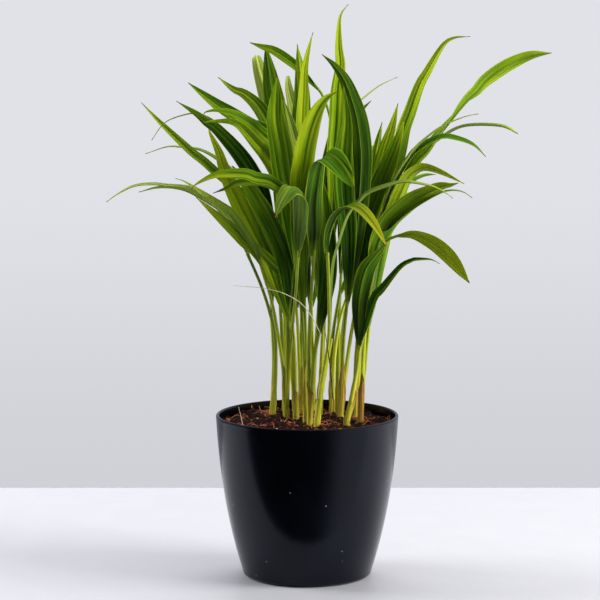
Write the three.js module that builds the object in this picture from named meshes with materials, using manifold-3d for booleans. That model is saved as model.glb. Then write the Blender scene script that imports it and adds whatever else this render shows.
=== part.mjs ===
// A potted palm: a clump of young palm seedlings in a tapered black pot of potting soil.
// Millimetres, +Z up. The origin is on the pot's axis, on the surface that it stands on,
// and the front of the plant looks along -Y.

import * as THREE from "three";
import Module from "manifold-3d";

const wasm = await Module();
wasm.setup();

// ---------------------------------------------------------------- driving dimensions

const POT = {
  height: 116,
  rimRadius: 65,
  footRadius: 45, // where the side would meet the surface without its rounded foot
  bulge: { radius: 61.6, height: 50 }, // the handle that bows the side outwards
  footRound: 4,
  wall: 2.4,
  floor: 3,
  groove: { inner: 28, outer: 36, depth: 0.8 }, // ring recess under the base
  segments: 40,
  sideSteps: 5,
};

const SOIL = {
  level: 108.5,
  crown: 1.5, // how much higher the middle stands
  bumps: 0.9,
  rings: [0.84, 0.64, 0.44, 0.24, 0.08], // of the soil's own radius
  segments: 32,
};

const STEM = {
  sides: 6,
  footRadius: 2.2,
  tipRadius: 1,
  rooted: 12, // depth of the stem in the soil
  holeRadius: 2.7,
  holeDepth: 14,
  taperHeight: 90, // a sheath slims down to a petiole over this height
  slim: 0.52, // share of the foot's radius where the sheath ends
};

const LEAF = {
  thickness: 0.8,
  fold: 0.3, // rise of a leaf's edges over its midrib, for each mm of half width
  baseShare: 0.2, // of the full width, where the blade starts
  widestAt: 0.5, // of the leaf's length
  tipTaper: 2.8, // the higher, the later the blade narrows to its tip
  tipHalfWidth: 0.35,
  sunk: 5, // length of the leaf's root inside its petiole
};

const BEND = THREE.MathUtils.degToRad(18); // a path's turn that asks for one more station
const GAP = 0.3; // between pieces that touch

// ---------------------------------------------------------------- the plant's routes
// A seedling has a foot [x, y] on the soil and its fronds. A frond has the points that its
// petiole passes after the foot, and its leaves. A leaf has its width, or a list of its
// width, the share of its length where it is widest and its tip's taper; the direction that
// its upper face looks in at its root (0 right, 90 back, -90 front); the degrees that it
// twists up to its tip; and the points that its midrib passes after the petiole's end.

const seedling = (foot, ...fronds) => ({ foot, fronds });
const frond = (petiole, ...leaves) => ({ petiole, leaves });
const leaf = (size, faces, twist, ...path) => {
  const [width, widest = LEAF.widestAt, taper = LEAF.tipTaper] = [size].flat();
  return { width, widest, taper, faces, twist, path };
};

const SEEDLINGS = [
  seedling([-15, 16], // front left: bent-over leaf, long low arches
    frond([[-14, 13, 133], [-12, 6, 164], [-8, -10, 205], [-6, -24, 236]],
      leaf([16, 0.5, 2.3], -122, -30, [-4, -28, 252], [-3, -35, 264], [-3, -42, 275],
        [-6, -48, 281], [-11, -54, 283], [-15, -58, 279], [-19, -61, 272], [-22, -62, 263]),
    ),
    frond([[-17, 14, 145], [-22, 10, 179], [-26, 6, 199], [-31, 2, 216], [-34, -1, 227]],
      leaf([8, 0.4, 1.2], -40, 0, [-37, -3, 235], [-42, -6, 243], [-53, -12, 260], [-60, -14, 266],
        [-74, -17, 276], [-86, -19, 284], [-92, -20, 286]),
      leaf([8.5, 0.4, 1.6], -60, 0, [-39, -3, 234], [-45, -6, 240], [-51, -9, 247], [-63, -14, 259],
        [-78, -18, 273]),
    ),
    frond([[-14, 11, 145], [-14, 0, 185]],
      leaf([8, 0.75, 1.4], 0, -40, [-9, -9, 226], [-9, -12, 246], [-11, -15, 263], [-14, -21, 274],
        [-20, -28, 281], [-27, -34, 286], [-36, -38, 288], [-44, -41, 291], [-62, -45, 291],
        [-76, -48, 285], [-80, -48, 281]),
      leaf([8, 0.7, 1.6], 0, -45, [-9, -9, 230], [-10, -11, 250], [-13, -13, 265], [-18, -18, 275],
        [-25, -21, 281], [-34, -23, 284], [-49, -24, 283], [-55, -24, 280], [-66, -24, 276]),
    ),
  ),
  seedling([2, -6], // front middle: leaf folded over at its top
    frond([[1, -6, 150], [2, -10, 190], [5, -19, 236]],
      leaf([20, 0.5, 3.5], 116, 50, [6, -24, 249], [6, -30, 268], [8, -37, 287], [10, -44, 298],
        [14, -50, 303], [20, -56, 299], [26, -61, 292], [32, -64, 283]),
    ),
    frond([[4, -7, 150], [9, -9, 180]],
      leaf(14, -90, 0, [14, -10, 215], [13, -12, 250], [10, -14, 286]),
    ),
  ),
  seedling([7, -14], // front: yellowing arch and the thin arch beside it
    frond([[10, -13, 139], [15, -16, 173], [15, -26, 208], [14, -37, 236]],
      leaf([13, 0.55, 2], 140, 0, [15, -40, 247], [18, -46, 258], [23, -52, 266], [30, -58, 270],
        [37, -63, 267], [45, -67, 258], [54, -69, 244]),
    ),
    frond([[11, -12, 139], [17, -12, 172]],
      leaf([10.5, 0.6, 1.5], 175, 0, [18, -17, 221], [23, -20, 243], [29, -24, 261], [37, -27, 271],
        [44, -28, 277], [64, -31, 284], [73, -32, 284], [88, -32, 281], [99, -31, 275],
        [101, -30, 273]),
    ),
  ),
  seedling([28, -12], // front right: the lowest leaves of that side
    frond([[31, -12, 128], [35, -14, 150], [37, -17, 168]],
      leaf([9, 0.3, 1.3], 215, 0, [42, -18, 185], [48, -22, 203], [53, -24, 209], [65, -30, 225],
        [73, -32, 230], [77, -34, 231], [86, -36, 231], [92, -36, 228]),
      leaf([13, 0.66, 1.8], 75, 0, [36, -18, 192], [37, -20, 204], [39, -20, 215], [43, -18, 225],
        [55, -14, 239]),
    ),
    frond([[32, -9, 128], [38, -7, 165], [47, -6, 219], [51, -5, 231], [55, -6, 240], [62, -8, 244],
      [69, -10, 246]],
      leaf([11, 0.55, 2.2], -80, -10, [74, -12, 246], [86, -17, 242], [95, -21, 236],
        [103, -26, 228], [113, -32, 214]),
    ),
  ),
  seedling([38, -2],
    frond([[39, -2, 141], [41, 2, 175], [43, 3, 206], [47, 3, 225]],
      leaf([15, 0.32, 3], 115, 0, [50, 4, 237], [56, 5, 249], [61, 4, 256], [71, 2, 265],
        [78, 0, 270], [83, -3, 273], [94, -7, 279], [100, -9, 280], [106, -10, 282]),
    ),
    frond([[40, 4, 140], [44, 9, 178]],
      leaf([12, 0.5, 2.2], 124, 0, [57, 12, 246], [61, 11, 259], [66, 10, 272], [71, 9, 283],
        [77, 8, 289], [83, 7, 291], [94, 5, 288], [111, 5, 280]),
      leaf([10, 0.4, 1.4], 178, 0, [53, 9, 240], [59, 7, 248], [73, 3, 261], [92, -1, 273],
        [102, -3, 276], [110, -5, 275], [116, -6, 271]),
    ),
  ),
  seedling([-8, 13],
    frond([[-9, 13, 160], [-11, 9, 185]],
      leaf(14, -80, 0, [-15, 3, 222], [-24, -2, 247], [-36, -4, 270], [-45, -5, 284],
        [-53, -6, 294]),
      leaf([8, 0.5, 2], 90, 0, [-13, 8, 206], [-17, 6, 216], [-23, 5, 222], [-36, 3, 236],
        [-42, 2, 244]),
    ),
    frond([[-10, 14, 155], [-14, 15, 185]],
      leaf([13.5, 0.5, 1.8], -70, 0, [-31, 13, 228], [-38, 12, 244], [-50, 13, 268], [-56, 14, 281],
        [-60, 16, 292], [-63, 17, 302], [-69, 19, 315], [-70, 20, 321]),
      leaf(13, 90, 0, [-22, 13, 222], [-29, 11, 248], [-35, 10, 272]),
    ),
  ),
  seedling([-4, 24],
    frond([[-4, 23, 165], [-4, 20, 205]],
      leaf([10, 0.6, 1.7], -70, 0, [-4, 14, 257], [-4, 9, 297], [-4, 7, 325], [-3, 6, 345],
        [-2, 4, 362], [1, 1, 376], [4, -2, 387]),
      leaf([14, 0.65, 2], 90, 0, [-5, 18, 257], [-4, 16, 296], [-4, 14, 328], [-4, 16, 349],
        [-7, 16, 378]),
    ),
    frond([[-6, 22, 160], [-8, 17, 195]],
      leaf([13, 0.55, 1.6], -60, 20, [-11, 10, 275], [-16, 6, 293], [-24, 2, 307], [-33, -1, 316],
        [-39, -4, 322], [-51, -8, 330], [-62, -11, 333], [-71, -14, 332], [-73, -14, 329]),
      leaf([13, 0.5, 1.6], -80, 0, [-14, 2, 272], [-20, -1, 287], [-27, -4, 299], [-35, -8, 309],
        [-49, -15, 324], [-62, -16, 326], [-73, -18, 325]),
    ),
  ),
  seedling([-1, 2], // middle: the bright leaf that nods to the right
    frond([[-2, 1, 160], [-4, -3, 195]],
      leaf([15.5, 0.55, 3.2], -80, 0, [-5, -17, 246], [-5, -24, 268], [-5, -27, 286],
        [-3, -29, 300], [-1, -30, 312], [3, -31, 326], [8, -32, 337], [14, -33, 344],
        [20, -34, 347]),
    ),
    frond([[-1, 1, 165], [-2, -3, 205]],
      leaf([17, 0.55, 2.6], -85, 0, [-7, -1, 234], [-11, -4, 266], [-16, -6, 289], [-19, -7, 308],
        [-22, -6, 326], [-22, -5, 341], [-21, -4, 357]),
      leaf([9, 0.55, 2.6], -90, 0, [-5, -13, 295], [-9, -14, 316], [-13, -15, 330],
        [-17, -15, 342]),
    ),
  ),
  seedling([24, 18], // the widest dark leaf, and the high arch to the right
    frond([[26, 17, 165], [29, 13, 200]],
      leaf([15, 0.6, 2], 80, 0, [35, 8, 243], [37, 3, 272], [38, -2, 297], [37, -4, 313],
        [35, -5, 327], [31, -6, 341], [26, -7, 354], [19, -8, 364], [10, -9, 372]),
      leaf([15, 0.6, 1.5], -85, 0, [29, 4, 244], [26, -5, 273], [25, -11, 298], [26, -13, 314],
        [27, -14, 326], [26, -14, 340], [25, -13, 351]),
    ),
    frond([[30, 22, 160], [35, 25, 190]],
      leaf([12.5, 0.5, 2.4], -90, 0, [41, 31, 246], [46, 34, 266], [51, 36, 286], [56, 37, 303],
        [61, 37, 319], [65, 37, 335]),
      leaf([15.5, 0.55, 2.2], -80, 0, [41, 28, 245], [46, 29, 263], [52, 30, 278], [58, 30, 293],
        [66, 28, 314], [69, 28, 324]),
    ),
  ),
  seedling([9, 30], // the tallest leaf
    frond([[11, 29, 165], [13, 28, 210]],
      leaf([11, 0.66, 1.15], -70, 0, [18, 26, 263], [18, 25, 295], [20, 24, 324], [21, 22, 345],
        [23, 20, 363], [22, 19, 377], [23, 17, 397], [29, 16, 406]),
      leaf([10, 0.6, 2], -90, 0, [23, 28, 295], [26, 30, 320], [28, 31, 338], [26, 31, 355]),
    ),
    frond([[12, 32, 170], [14, 36, 215], [19, 41, 280], [19, 43, 305], [16, 45, 326], [11, 46, 340],
      [5, 46, 348]],
      leaf([7, 0.55, 2], -90, 0, [-3, 46, 356], [-10, 45, 363], [-23, 43, 372], [-32, 42, 375],
        [-41, 42, 378]),
    ),
  ),
  seedling([18, 36], // the longest leaf, out to the right
    frond([[20, 36, 155], [27, 37, 190], [46, 38, 228], [57, 39, 249]],
      leaf([15, 0.5, 3.2], 268, -180, [66, 41, 274], [73, 42, 281], [78, 43, 291], [86, 44, 299],
        [93, 45, 308], [104, 47, 322], [115, 48, 335], [123, 49, 342], [129, 50, 349],
        [142, 51, 359], [155, 53, 366], [164, 53, 369], [176, 54, 370]),
      leaf([10, 0.8, 3.5], 178, 0, [64, 42, 268], [78, 48, 290], [86, 50, 300], [101, 49, 312],
        [115, 46, 318], [139, 42, 318], [151, 37, 313]),
    ),
    frond([[18, 38, 160], [24, 42, 200]],
      leaf([11, 0.5, 1.75], 105, 0, [58, 44, 259], [63, 45, 283], [67, 46, 301], [70, 46, 316],
        [74, 47, 327], [81, 48, 347], [86, 48, 356], [97, 48, 375], [105, 48, 381], [117, 48, 382]),
      leaf(9, 90, 0, [44, 44, 244], [46, 46, 272], [50, 47, 301], [54, 47, 321]),
    ),
  ),
  seedling([34, 20],
    frond([[36, 21, 165], [42, 21, 200]],
      leaf([11, 0.5, 1.5], 178, 0, [56, 20, 264], [66, 19, 287], [72, 19, 296], [77, 18, 304],
        [83, 18, 310], [96, 16, 320], [112, 14, 327], [121, 12, 329]),
      leaf([12, 0.6, 2.6], 195, 0, [57, 22, 261], [61, 23, 274], [73, 23, 295], [80, 22, 303],
        [95, 22, 311], [107, 21, 310], [118, 20, 306], [127, 20, 298]),
    ),
  ),
  seedling([-25, 28], // left
    frond([[-23, 28, 137], [-23, 27, 168], [-27, 27, 186], [-32, 27, 202], [-38, 26, 217],
      [-43, 26, 228]],
      leaf([11, 0.4, 1.6], 8, 0, [-46, 25, 236], [-49, 24, 244], [-62, 20, 261], [-78, 16, 272],
        [-85, 14, 276], [-101, 11, 278], [-108, 10, 279], [-122, 8, 278], [-135, 6, 272],
        [-142, 5, 267]),
      leaf([11, 0.4, 1.8], 12, 0, [-47, 27, 235], [-51, 28, 243], [-63, 30, 258], [-70, 31, 263],
        [-84, 33, 271], [-95, 35, 274], [-108, 37, 274], [-121, 38, 271]),
    ),
    frond([[-24, 31, 150], [-26, 34, 185]],
      leaf([8, 0.65, 2], -50, 0, [-26, 33, 221], [-30, 35, 240], [-37, 37, 255], [-45, 38, 267],
        [-54, 38, 275], [-65, 39, 284], [-75, 40, 293], [-84, 41, 300], [-102, 43, 317],
        [-109, 44, 324], [-119, 44, 335]),
      leaf([11, 0.45, 1.6], -15, 0, [-30, 38, 237], [-36, 40, 255], [-43, 43, 268], [-56, 48, 286],
        [-75, 53, 299], [-92, 55, 302], [-102, 56, 302], [-117, 58, 297]),
    ),
  ),
  seedling([-16, 33],
    frond([[-18, 33, 165], [-20, 30, 200]],
      leaf([13, 0.5, 1.8], -70, 0, [-32, 24, 267], [-40, 16, 287], [-50, 9, 303], [-64, 4, 319],
        [-71, 2, 324], [-78, 0, 330], [-92, -2, 339]),
      leaf([8, 0.45, 1.5], 5, 0, [-34, 30, 273], [-51, 30, 304], [-59, 30, 316], [-67, 30, 323],
        [-75, 30, 327], [-83, 30, 328], [-97, 30, 324], [-104, 30, 319], [-111, 30, 309]),
    ),
    frond([[-16, 36, 165], [-17, 39, 210]],
      leaf([12.5, 0.5, 3], -60, 0, [-19, 40, 290], [-25, 39, 305], [-32, 38, 315], [-40, 37, 318],
        [-57, 35, 329], [-66, 34, 335], [-85, 32, 350]),
      leaf([15, 0.5, 2.2], 60, 0, [-21, 44, 304], [-26, 46, 316], [-36, 48, 332], [-46, 48, 341],
        [-53, 48, 344], [-64, 48, 353]),
    ),
  ),
  seedling([-9, 42], // from here on: the back of the clump
    frond([[-10, 46, 160], [-13, 51, 205]],
      leaf([17, 0.65, 2.2], 80, 0, [-17, 60, 278], [-20, 61, 307], [-23, 61, 329], [-26, 60, 347],
        [-30, 58, 376]),
      leaf([13, 0.6, 2.5], 90, 0, [-19, 64, 299], [-25, 68, 324], [-31, 72, 344], [-35, 75, 358],
        [-37, 80, 366], [-38, 88, 366], [-40, 96, 359]),
    ),
    frond([[-12, 47, 150], [-18, 60, 190]],
      leaf([12, 0.5, 2], 340, 0, [-22, 74, 216], [-26, 92, 242], [-33, 112, 260], [-41, 130, 267],
        [-48, 144, 264]),
      leaf([11, 0.5, 2], 10, 0, [-23, 72, 214], [-29, 84, 237], [-38, 98, 254], [-47, 112, 263],
        [-55, 126, 263]),
    ),
  ),
  seedling([4, 47],
    frond([[4, 52, 150], [3, 62, 190]],
      leaf(14, 215, 0, [0, 84, 248], [-6, 108, 288], [-16, 132, 308], [-28, 158, 300]),
      leaf([12, 0.5, 2.5], 315, 0, [15, 84, 250], [17, 104, 270], [23, 130, 279], [28, 158, 278]),
    ),
    frond([[6, 50, 150], [9, 54, 195]],
      leaf([11, 0.6, 2.2], -90, 0, [1, 62, 263], [-4, 68, 299], [-9, 74, 326], [-13, 80, 342],
        [-14, 88, 351], [-15, 96, 349]),
      leaf(12, 270, 20, [12, 64, 262], [18, 76, 298], [26, 94, 326], [36, 112, 330]),
    ),
  ),
  seedling([22, 48],
    frond([[23, 52, 170], [25, 56, 215]],
      leaf([5, 0.5, 2], 180, 0, [28, 63, 299], [30, 67, 319], [35, 71, 331], [41, 75, 336],
        [53, 80, 345], [66, 84, 351]),
      leaf([11, 0.6, 1.8], 250, 0, [28, 66, 281], [31, 70, 302], [35, 74, 317], [40, 78, 327],
        [47, 82, 334]),
    ),
    frond([[24, 53, 150], [29, 62, 190]],
      leaf(15, 300, 0, [36, 84, 235], [43, 112, 276], [50, 140, 292], [56, 166, 284]),
      leaf([12, 0.5, 2], 195, 0, [57, 86, 250], [63, 94, 267], [70, 104, 281], [78, 112, 288],
        [85, 124, 289]),
    ),
  ),
  seedling([36, 38],
    frond([[38, 42, 150], [42, 50, 185]],
      leaf([12, 0.5, 2], 210, 0, [56, 62, 241], [62, 76, 253], [70, 92, 262], [78, 108, 265]),
      leaf([11, 0.5, 2], 170, 0, [56, 58, 245], [65, 64, 263], [75, 72, 274], [86, 82, 279],
        [95, 92, 279]),
    ),
  ),
];

// ---------------------------------------------------------------- curves and solids

const vector = ([x, y, z]) => new THREE.Vector3(x, y, z);

const curveThrough = (points) =>
  new THREE.CatmullRomCurve3(points, false, "catmullrom", 0.5);

// Direction that a path runs in at each of its stations.
function tangents(stations) {
  return stations.map((point, i) => {
    const before = stations[Math.max(i - 1, 0)];
    const after = stations[Math.min(i + 1, stations.length - 1)];
    return after.clone().sub(before).normalize();
  });
}

// Side directions carried along a path without turning about it, from a first one.
function carried(directions, first) {
  let side = first.clone();
  return directions.map((tangent) => {
    side = side.clone().addScaledVector(tangent, -side.dot(tangent)).normalize();
    return side;
  });
}

// A closed skin over rings of equally many points, which run counter-clockwise
// round the path. Opposite faces of a flat ring are split into triangles alike.
function skin(rings) {
  const count = rings[0].length;
  const triangles = [];
  const quad = (a, b, c, d, split) =>
    split ? triangles.push(a, b, d, b, c, d) : triangles.push(a, b, c, a, c, d);
  for (let i = 0; i + 1 < rings.length; i++)
    for (let k = 0; k < count; k++) {
      const low = i * count;
      const next = (k + 1) % count;
      quad(low + k, low + next, low + count + next, low + count + k, k >= count / 2);
    }
  const top = (rings.length - 1) * count;
  for (let k = 0; k + 1 < count / 2; k++) {
    const far = count - 1 - k;
    quad(k, far, far - 1, k + 1, false);
    quad(top + k, top + k + 1, top + far - 1, top + far, false);
  }
  return solid(rings.flat(), triangles);
}

function solid(points, triangles) {
  const vertProperties = new Float32Array(points.flatMap((p) => [p.x, p.y, p.z]));
  const triVerts = new Uint32Array(triangles);
  return new wasm.Manifold(new wasm.Mesh({ numProp: 3, vertProperties, triVerts }));
}

// The largest body of a union, without the pockets that crossing leaves seal inside it.
function outerBody(whole) {
  const larger = (a, b) => (b.volume() > a.volume() ? b : a);
  return whole.decompose().reduce(larger);
}

function geometryOf(body) {
  const { vertProperties, triVerts } = body.getMesh();
  const geometry = new THREE.BufferGeometry();
  geometry.setAttribute("position", new THREE.BufferAttribute(vertProperties, 3));
  geometry.setIndex(new THREE.BufferAttribute(triVerts, 1));
  geometry.computeVertexNormals();
  return geometry;
}

// ---------------------------------------------------------------- pot and soil

// Outer radius of the pot's side at a height: one quadratic curve from rim to foot.
function sideRadius(z) {
  const { height, rimRadius, footRadius, bulge } = POT;
  const a = height - 2 * bulge.height;
  const b = 2 * (bulge.height - height);
  const t = (-b - Math.sqrt(b * b - 4 * a * (height - z))) / (2 * a);
  return (
    rimRadius * (1 - t) ** 2 + 2 * bulge.radius * t * (1 - t) + footRadius * t ** 2
  );
}

function arc(centre, radius, fromDegrees, toDegrees, steps) {
  return Array.from({ length: steps + 1 }, (_, i) => {
    const angle = THREE.MathUtils.degToRad(
      THREE.MathUtils.lerp(fromDegrees, toDegrees, i / steps),
    );
    return new THREE.Vector2(
      centre.x + radius * Math.cos(angle),
      centre.y + radius * Math.sin(angle),
    );
  });
}

function potGeometry() {
  const { height, wall, floor, footRound, groove, sideSteps, segments } = POT;
  const lip = wall / 2;
  const rimCentre = new THREE.Vector2(sideRadius(height) - lip, height - lip);
  const footCentre = new THREE.Vector2(sideRadius(footRound) - footRound, footRound);
  const heights = Array.from({ length: sideSteps }, (_, i) =>
    THREE.MathUtils.lerp(footRound, height - lip, (i + 0.6) / sideSteps),
  );
  const outer = heights.map((z) => new THREE.Vector2(sideRadius(z), z));
  const inner = heights
    .filter((z) => z > floor)
    .map((z) => new THREE.Vector2(sideRadius(z) - wall, z))
    .reverse();
  const profile = [
    new THREE.Vector2(0, 0),
    new THREE.Vector2(groove.inner, 0),
    new THREE.Vector2(groove.inner + groove.depth, groove.depth),
    new THREE.Vector2(groove.outer - groove.depth, groove.depth),
    new THREE.Vector2(groove.outer, 0),
    ...arc(footCentre, footRound, -90, -6, 3),
    ...outer,
    ...arc(rimCentre, lip, 0, 180, 4),
    ...inner,
    new THREE.Vector2(sideRadius(floor + footRound) - wall, floor),
    new THREE.Vector2(0, floor),
  ];
  return new THREE.LatheGeometry(profile, segments).rotateX(Math.PI / 2);
}

// Height of the soil's uneven top: a low crown with a few crossing ripples.
function soilHeight(x, y) {
  const { level, crown, bumps } = SOIL;
  const fall = (x * x + y * y) / (POT.rimRadius * POT.rimRadius);
  const ripples =
    Math.sin(x * 0.21 + y * 0.13) + Math.sin(x * 0.11 - y * 0.27 + 1.3) * 0.8;
  return level + crown * (1 - fall) + bumps * ripples;
}

const ring = (radius, height, segments) =>
  Array.from({ length: segments }, (_, k) => {
    const angle = (2 * Math.PI * k) / segments;
    const x = radius * Math.cos(angle);
    const y = radius * Math.sin(angle);
    return new THREE.Vector3(x, y, height(x, y));
  });

function soilGeometry() {
  const { level, rings, segments } = SOIL;
  const low = POT.floor + GAP;
  const insideOf = (z) =>
    (sideRadius(Math.max(z, POT.footRound)) - POT.wall - GAP) *
    Math.cos(Math.PI / POT.segments) - GAP;
  const edge = insideOf(level);
  const side = [low, level / 3, (2 * level) / 3, level - 3].map((z) =>
    ring(z === low ? insideOf(z) - POT.footRound : insideOf(z), () => z, segments),
  );
  const top = [1, ...rings].map((share) => ring(edge * share, soilHeight, segments));
  let body = skin([...side, ...top]);
  for (const { foot } of SEEDLINGS) body = body.subtract(stemHole(foot));
  return geometryOf(body);
}

function stemHole([x, y]) {
  const { level, crown, bumps } = SOIL;
  const { holeRadius, holeDepth, sides } = STEM;
  const heights = [level - holeDepth, level + crown + 4 * bumps];
  const rings = heights.map((z) =>
    ring(holeRadius / Math.cos(Math.PI / sides), () => z, sides),
  );
  const moved = rings.map((points) =>
    points.map((point) => point.add(new THREE.Vector3(x, y, 0))),
  );
  return skin(moved);
}

// ---------------------------------------------------------------- seedlings

// Radius of a stem at a height: a sheath at the soil, then a slim petiole.
function stemRadius(z) {
  const share = THREE.MathUtils.clamp((z - SOIL.level) / STEM.taperHeight, 0, 1);
  const slim = THREE.MathUtils.lerp(1, STEM.slim, Math.sqrt(share));
  const tip = THREE.MathUtils.clamp((z - SOIL.level - STEM.taperHeight) / 120, 0, 1);
  return THREE.MathUtils.lerp(STEM.footRadius * slim, STEM.tipRadius, tip);
}

// A station at each point of a path, and more between two where the path bends.
function stationsAlong(path) {
  const curve = curveThrough(path);
  const spans = path.length - 1;
  const stations = [path[0]];
  for (let i = 0; i < spans; i++) {
    const bend = curve.getTangent(i / spans).angleTo(curve.getTangent((i + 1) / spans));
    const steps = 1 + Math.min(Math.floor(bend / BEND), 2);
    for (let k = 1; k <= steps; k++) stations.push(curve.getPoint((i + k / steps) / spans));
  }
  return stations;
}

// Share of a path's length that lies before each of its stations.
function shares(stations) {
  const before = [0];
  for (let i = 1; i < stations.length; i++)
    before.push(before[i - 1] + stations[i].distanceTo(stations[i - 1]));
  return before.map((length) => length / before.at(-1));
}

// One frond's stalk, from its root in the soil to the point where its leaves part.
function stalk([x, y], petiole) {
  const root = new THREE.Vector3(x, y, SOIL.level - STEM.rooted);
  const collar = new THREE.Vector3(x, y, SOIL.level + 5);
  const stations = [root, ...stationsAlong([collar, ...petiole.map(vector)])];
  const directions = tangents(stations);
  directions[0].set(0, 0, 1);
  directions[1].set(0, 0, 1);
  const sides = carried(directions, new THREE.Vector3(1, 0, 0));
  const rings = stations.map((centre, i) => {
    const across = directions[i].clone().cross(sides[i]);
    const radius = stemRadius(centre.z);
    return Array.from({ length: STEM.sides }, (_, k) => {
      const angle = (2 * Math.PI * k) / STEM.sides;
      return centre
        .clone()
        .addScaledVector(sides[i], radius * Math.cos(angle))
        .addScaledVector(across, radius * Math.sin(angle));
    });
  });
  return skin(rings);
}

// Half width of a leaf along its length: narrow root, full middle, drawn-out tip.
function halfWidth({ width, widest, taper }, share) {
  if (share < widest) {
    const rise = Math.sin((share / widest) * (Math.PI / 2));
    return (width / 2) * THREE.MathUtils.lerp(LEAF.baseShare, 1, rise);
  }
  const past = (share - widest) / (1 - widest);
  return Math.max((width / 2) * (1 - past ** taper), LEAF.tipHalfWidth);
}

// A strap leaf folded along its midrib, as a thin closed body.
function blade(petiole, one) {
  const { faces, twist, path } = one;
  const end = vector(petiole.at(-1));
  const before = vector(petiole.at(-2));
  const root = end.clone().add(before.sub(end).setLength(LEAF.sunk));
  const stations = stationsAlong([root, ...path.map(vector)]);
  const along = shares(stations);
  const directions = tangents(stations);
  const azimuth = THREE.MathUtils.degToRad(faces);
  const upper = new THREE.Vector3(Math.cos(azimuth), Math.sin(azimuth), 0);
  const normals = carried(directions, upper);
  const rings = stations.map((centre, i) => {
    const turn = THREE.MathUtils.degToRad(twist * along[i]);
    const normal = normals[i].clone().applyAxisAngle(directions[i], turn);
    const across = normal.clone().cross(directions[i]);
    const half = halfWidth(one, along[i]);
    const at = (side, face) =>
      centre
        .clone()
        .addScaledVector(across, side * half)
        .addScaledVector(
          normal,
          Math.abs(side) * half * LEAF.fold + (face * LEAF.thickness) / 2,
        );
    return [at(-1, -1), at(0, -1), at(1, -1), at(1, 1), at(0, 1), at(-1, 1)];
  });
  return skin(rings);
}

function seedlingGeometry({ foot, fronds }) {
  const pieces = fronds.flatMap(({ petiole, leaves }) => [
    stalk(foot, petiole),
    ...leaves.map((one) => blade(petiole, one)),
  ]);
  const whole = pieces.reduce((joined, piece) => joined.add(piece));
  return geometryOf(outerBody(whole));
}

// ---------------------------------------------------------------- the part

const finish = (color, roughness) =>
  new THREE.MeshStandardMaterial({ color, roughness, metalness: 0 });

const PLASTIC = finish(0x15171c, 0.28);
const EARTH = finish(0x5a2c1c, 0.95);
const FOLIAGE = finish(0x4d7a22, 0.45);

function node(name, geometry, material) {
  const mesh = new THREE.Mesh(geometry, material);
  mesh.name = name;
  return mesh;
}

const group = new THREE.Group();
group.add(node("pot", potGeometry(), PLASTIC));
group.add(node("soil", soilGeometry(), EARTH));
SEEDLINGS.forEach((one, i) => {
  const name = `palm_${String(i + 1).padStart(2, "0")}`;
  group.add(node(name, seedlingGeometry(one), FOLIAGE));
});

export default group;
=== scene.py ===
"""A potted palm: a clump of young palm seedlings in a glossy black pot of coir soil.

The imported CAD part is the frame. Each of its nodes is replaced by finer pieces that keep
its form: the pot's shell, the soil with its fibres, and for every seedling its stalks and
its leaves. Sizes are in millimetres here, as in the part's source, and become metres
where a mesh is made. +Z is up and the front of the plant looks along -Y.
"""

import random
from math import cos, exp, hypot, pi, radians, sin, sqrt

import bpy
import numpy as np
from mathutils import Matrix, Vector, noise


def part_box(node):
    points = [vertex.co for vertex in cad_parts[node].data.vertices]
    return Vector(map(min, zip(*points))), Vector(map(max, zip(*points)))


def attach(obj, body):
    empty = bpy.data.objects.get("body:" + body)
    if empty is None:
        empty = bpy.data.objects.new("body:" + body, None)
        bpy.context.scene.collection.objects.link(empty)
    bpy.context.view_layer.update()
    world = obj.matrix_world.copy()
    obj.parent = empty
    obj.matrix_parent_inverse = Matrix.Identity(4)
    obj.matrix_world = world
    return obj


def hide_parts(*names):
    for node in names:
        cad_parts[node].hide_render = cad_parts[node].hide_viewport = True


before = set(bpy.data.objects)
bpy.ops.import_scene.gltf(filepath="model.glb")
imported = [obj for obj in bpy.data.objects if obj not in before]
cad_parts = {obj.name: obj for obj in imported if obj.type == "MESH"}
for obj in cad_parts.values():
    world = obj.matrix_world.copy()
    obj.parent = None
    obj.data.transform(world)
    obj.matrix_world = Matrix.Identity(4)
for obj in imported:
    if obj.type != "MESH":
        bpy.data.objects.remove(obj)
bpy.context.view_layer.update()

MM = 0.001  # metres in a millimetre

# ---------------------------------------------------------------- driving dimensions

pot_low, pot_high = (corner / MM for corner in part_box("pot"))

POT_HEIGHT = pot_high.z - pot_low.z
RIM_RADIUS = pot_high.x
FOOT_RADIUS = 45  # where the side would meet the surface without its rounded foot
BULGE_RADIUS, BULGE_HEIGHT = 61.6, 50  # the handle that bows the side outwards
FOOT_ROUND = 4
WALL = 2.4
FLOOR = 3
GROOVE_INNER, GROOVE_OUTER, GROOVE_DEPTH = 28, 36, 0.8  # ring recess under the base
POT_SEGMENTS = 160
SIDE_STEPS, FOOT_STEPS, RIM_STEPS = 44, 9, 12  # stations along the pot's outline
SIDE_MARGIN = 0.8  # between the side's stations and its rounded ends
BASE_CAP, FLOOR_CAP = 12, 30  # radii of the flat faces that close the base and the floor

SOIL_LEVEL = 108.5
SOIL_CROWN = 1.5  # how much higher the middle stands
SOIL_RIPPLES = 0.9
SOIL_CRUMBS, SOIL_GRAINS = 1.3, 0.5
HEAP_AT, HEAP_HEIGHT, HEAP_SPREAD = (-34, 30), 2.6, 700  # the raised soil at the back left
SOIL_GAP = 0.3  # between the soil and the pot
SOIL_SEGMENTS, SOIL_RINGS = 280, 76
SOIL_SCATTER = 58  # how far from the axis its loose bits lie
FIBRES, CHIPS, SPECKS = 1000, 420, 46
FIBRE_SEED, CHIP_SEED, SPECK_SEED, PALM_SEED = 11, 23, 37, 100

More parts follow.
